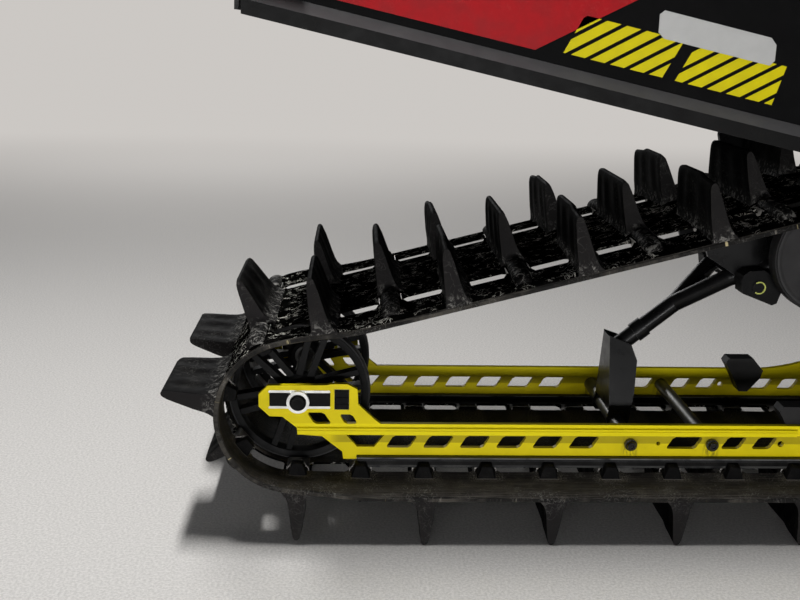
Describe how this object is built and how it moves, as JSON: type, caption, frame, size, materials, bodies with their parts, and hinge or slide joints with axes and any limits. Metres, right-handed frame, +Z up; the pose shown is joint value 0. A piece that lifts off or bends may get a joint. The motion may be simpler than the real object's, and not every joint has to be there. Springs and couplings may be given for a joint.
{
  "type": "snowmobile rear drive module",
  "caption": "Rear module of a mountain snowmobile: black tunnel, long deep-lugged track and yellow sliding-rail suspension with its wheels, arms and shocks.",
  "frame": {"origin": "on the floor under the middle of the module's length, on its centre plane", "axes": "+X forward, +Y to the vehicle's left, +Z up"},
  "size_m": [2.1524, 0.701, 0.9509],
  "materials": {
    "bare_aluminium": "machined",
    "bare_steel": "plain steel",
    "black_paint": "gloss black paint",
    "black_rubber": "moulded rubber",
    "edge_grey": "satin grey coating",
    "idler_plastic": "moulded plastic",
    "lamp_red": "clear red plastic",
    "rail_yellow": "satin powder coat",
    "slider_plastic": "worn plastic",
    "track_rubber": "moulded rubber, scuffed",
    "tunnel_black": "satin black paint",
    "wheel_plastic": "moulded plastic"
  },
  "bodies": {
    "root": {"arm_bracket": "black_paint", "arm_shaft": "bare_steel", "axle_adjuster_left": "bare_aluminium", "axle_adjuster_right": "bare_aluminium", "axle_bearing_left": "bare_aluminium", "axle_bearing_right": "bare_aluminium", "bend_wheel_left": "wheel_plastic", "bend_wheel_right": "wheel_plastic", "bend_wheel_shaft": "bare_steel", "bump_stop_left": "black_rubber", "bump_stop_right": "black_rubber", "cooler_left": "bare_aluminium", "cooler_right": "bare_aluminium", "drive_axle": "bare_steel", "drive_sprocket_left": "wheel_plastic", "drive_sprocket_right": "wheel_plastic", "drop_bracket_left": "black_paint", "drop_bracket_right": "black_paint", "edge_rail_left": "edge_grey", "edge_rail_right": "edge_grey", "front_arm": "black_paint", "front_arm_shaft": "bare_steel", "front_panel": "tunnel_black", "front_pivot_shaft": "bare_steel", "front_shock": "black_paint", "idler_wheel_left": "idler_plastic", "idler_wheel_right": "idler_plastic", "link_block_left": "wheel_plastic", "link_block_right": "wheel_plastic", "middle_shaft": "bare_steel", "rail_left": "rail_yellow", "rail_right": "rail_yellow", "rear_arm": "black_paint", "rear_axle": "bare_steel", "rear_bumper": "black_paint", "rear_shock": "black_paint", "rear_wheel_left": "wheel_plastic", "rear_wheel_right": "wheel_plastic", "running_board_left": "tunnel_black", "running_board_right": "tunnel_black", "shock_shaft": "bare_steel", "slider_left": "slider_plastic", "slider_right": "slider_plastic", "snow_flap": "black_rubber", "tail_lamp": "lamp_red", "track_belt": "track_rubber", "tunnel_side_left": "tunnel_black", "tunnel_side_right": "tunnel_black", "tunnel_top": "tunnel_black", "upper_shaft": "bare_steel"}
  },
  "joints": []
}
